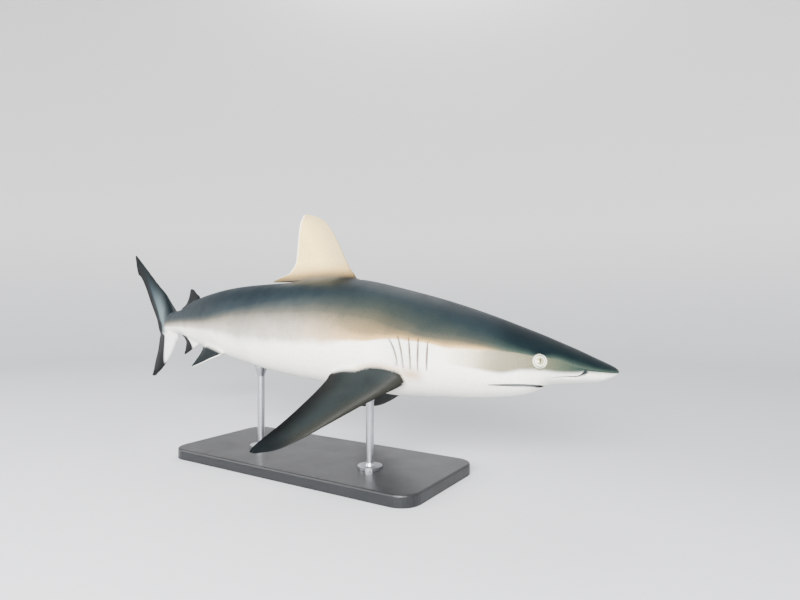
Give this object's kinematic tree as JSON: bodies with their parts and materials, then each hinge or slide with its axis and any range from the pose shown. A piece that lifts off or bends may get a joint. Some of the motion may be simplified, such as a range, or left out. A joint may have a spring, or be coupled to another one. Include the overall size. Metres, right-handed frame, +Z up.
{
  "type": "grey reef shark model",
  "caption": "Life-size grey reef shark swimming with its tail swung to its left, held over a flat display base by two short rods.",
  "frame": {"origin": "middle of the underside of the stand's base", "axes": "+Z up; the shark's head points along +X and its right side faces -Y"},
  "size_m": [1.4326, 0.4329, 0.4786],
  "materials": {
    "skin_back_and_flank": "satin, finely rough shark skin, slate above, bronze-beige along the flank, white below",
    "skin_underside": "satin white skin of the lower jaw and throat",
    "skin_first_dorsal": "matte pale sand-grey skin of the first dorsal fin",
    "skin_fins": "satin dark slate skin with blackish edges and tips",
    "skin_tail_fin": "satin slate skin with a broad black rear margin",
    "eye": "glossy round eye with a pale iris and an upright slit pupil",
    "stand_base_finish": "satin charcoal paint",
    "stand_rod_finish": "brushed stainless steel"
  },
  "bodies": {
    "root": {"head": "skin_back_and_flank", "lower_jaw": "skin_underside", "trunk": "skin_back_and_flank", "tail": "skin_back_and_flank", "first_dorsal_fin": "skin_first_dorsal", "second_dorsal_fin": "skin_fins", "anal_fin": "skin_fins", "pectoral_fin_right": "skin_fins", "pectoral_fin_left": "skin_fins", "pelvic_fin_right": "skin_fins", "pelvic_fin_left": "skin_fins", "caudal_fin_upper_lobe": "skin_tail_fin", "caudal_fin_lower_lobe": "skin_tail_fin", "eye_right": "eye", "eye_left": "eye", "stand_base": "stand_base_finish", "stand_rod_front": "stand_rod_finish", "stand_rod_rear": "stand_rod_finish"}
  },
  "joints": []
}
